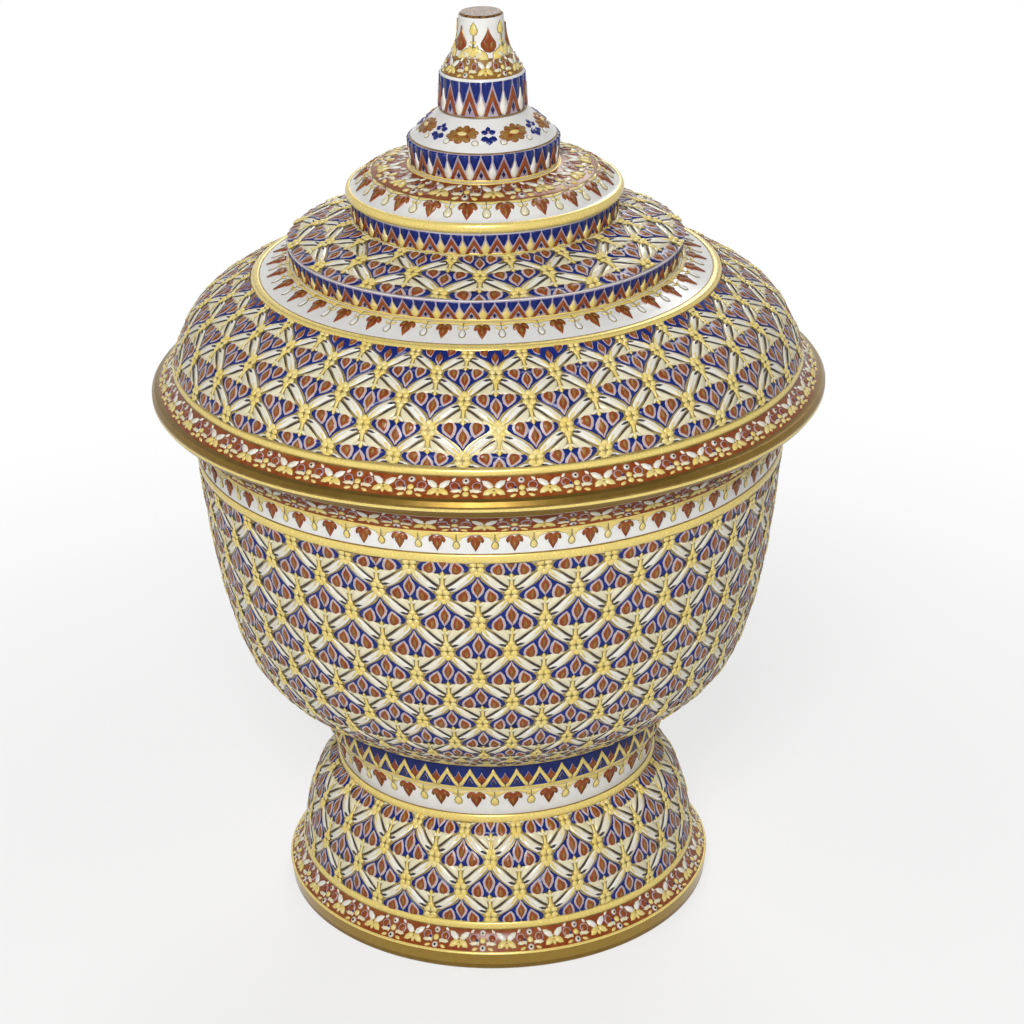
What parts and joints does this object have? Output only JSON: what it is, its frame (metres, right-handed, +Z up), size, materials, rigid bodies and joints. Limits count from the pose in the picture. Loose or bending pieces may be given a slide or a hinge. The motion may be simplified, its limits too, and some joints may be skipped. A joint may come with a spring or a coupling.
{
  "type": "lidded footed bowl",
  "caption": "Deep enamelled porcelain bowl on a hollow flared foot, with a domed, tiered lid, a stepped spire finial and a gilded brim that rests on the bowl's rim.",
  "frame": {"origin": "centre of the foot's resting plane", "axes": "+Z up along the axis of revolution, through the finial; the lid lifts along +Z"},
  "size_m": [0.1678, 0.1678, 0.2323],
  "materials": {
    "foot_enamel": "glossy overglaze enamel and gilding on white porcelain",
    "bowl_enamel": "glossy overglaze enamel and gilding on white porcelain",
    "dome_enamel": "glossy overglaze enamel and gilding on white porcelain",
    "bare_glaze": "plain ivory glaze, rubbed matt where it seats",
    "tier_enamel": "glossy overglaze enamel and gilding",
    "shoulder_enamel": "glossy overglaze enamel and gilding",
    "finial_enamel": "glossy overglaze enamel and gilding",
    "spire_enamel": "glossy overglaze enamel and gilding"
  },
  "bodies": {
    "bowl_body": {"foot": "foot_enamel", "bowl": "bowl_enamel"},
    "lid_body": {"lid_dome": "dome_enamel", "lid_locating_flange": "bare_glaze", "lid_middle_tier": "tier_enamel", "lid_upper_tier": "shoulder_enamel", "finial_base": "finial_enamel", "finial_spire": "spire_enamel"}
  },
  "joints": [
    {"name": "lid_lift", "type": "slide", "parent": "bowl_body", "child": "lid_body", "axis": [0, 0, 1], "range_m": [0, 0.12]}
  ]
}
